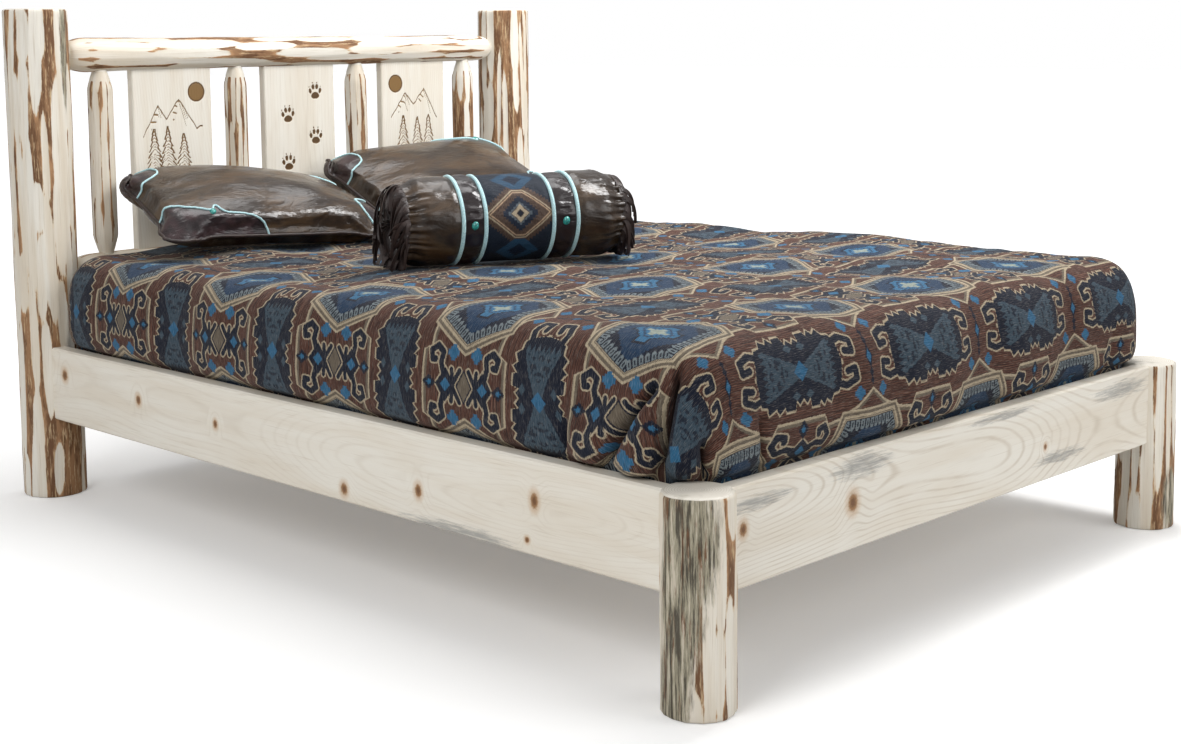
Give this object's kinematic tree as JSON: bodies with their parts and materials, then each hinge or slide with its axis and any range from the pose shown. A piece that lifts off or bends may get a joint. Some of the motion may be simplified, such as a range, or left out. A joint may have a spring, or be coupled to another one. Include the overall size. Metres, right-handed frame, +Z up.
{
  "type": "log bed",
  "caption": "Rustic queen bed of peeled pine logs and sawn rails, with a spindle-and-panel headboard, slats, mattress, patterned bedspread, leather shams and a bolster.",
  "frame": {"origin": "on the floor, under the middle of the whole bed's outer box", "axes": "+Z up, +X across the bed to its right as seen from the foot, +Y towards the headboard"},
  "size_m": [1.708, 2.265, 1.2],
  "materials": {
    "peeled_log": "hand-peeled pine log, clear satin finish",
    "pine_board": "sawn pine board with worn edges, clear satin finish",
    "plain_pine": "unfinished planed pine",
    "steel": "zinc-plated",
    "glide_plastic": "plain",
    "mattress_ticking": "quilted ticking",
    "woven_bedspread": "jacquard weave, reddish brown with blue motifs",
    "sham_leather": "distressed brown leather, semi-gloss",
    "bolster_leather": "distressed brown leather, semi-gloss",
    "fibre_fill": "polyester fibre fill"
  },
  "bodies": {
    "bed_frame": {"head_post_left": "peeled_log", "head_post_right": "peeled_log", "foot_post_left": "peeled_log", "foot_post_right": "peeled_log", "headboard_top_rail": "peeled_log", "headboard_bottom_rail": "peeled_log", "headboard_spindle_1": "peeled_log", "headboard_spindle_2": "peeled_log", "headboard_spindle_3": "peeled_log", "headboard_spindle_4": "peeled_log", "headboard_panel_left": "pine_board", "headboard_panel_centre": "pine_board", "headboard_panel_right": "pine_board", "side_rail_left": "pine_board", "side_rail_right": "pine_board", "foot_rail": "pine_board", "head_cross_rail": "pine_board", "slat_ledger_left": "plain_pine", "slat_ledger_right": "plain_pine", "slat_01": "plain_pine", "slat_02": "plain_pine", "slat_03": "plain_pine", "slat_04": "plain_pine", "slat_05": "plain_pine", "slat_06": "plain_pine", "slat_07": "plain_pine", "slat_08": "plain_pine", "slat_09": "plain_pine", "slat_10": "plain_pine", "slat_11": "plain_pine", "slat_12": "plain_pine", "slat_13": "plain_pine", "centre_beam": "plain_pine", "beam_cleat_foot": "plain_pine", "beam_cleat_head": "plain_pine", "centre_leg_1": "plain_pine", "centre_leg_2": "plain_pine", "corner_straps": "steel", "corner_lag_bolts": "steel", "ledger_screws": "steel", "leg_glides": "glide_plastic"},
    "mattress_set": {"mattress": "mattress_ticking", "bedspread": "woven_bedspread"},
    "sham_left": {"sham_left_cover": "sham_leather", "sham_left_fill": "fibre_fill"},
    "sham_right": {"sham_right_cover": "sham_leather", "sham_right_fill": "fibre_fill"},
    "bolster": {"bolster_cover": "bolster_leather", "bolster_fill": "fibre_fill"}
  },
  "joints": [
    {"name": "mattress_lift", "type": "slide", "parent": "bed_frame", "child": "mattress_set", "axis": [0, 0, 1], "range_m": [0, 0.15]},
    {"name": "sham_left_lift", "type": "slide", "parent": "mattress_set", "child": "sham_left", "axis": [0, 0, 1], "range_m": [0, 0.25]},
    {"name": "sham_right_lift", "type": "slide", "parent": "mattress_set", "child": "sham_right", "axis": [0, 0, 1], "range_m": [0, 0.25]},
    {"name": "bolster_lift", "type": "slide", "parent": "mattress_set", "child": "bolster", "axis": [0, 0, 1], "range_m": [0, 0.25]}
  ]
}
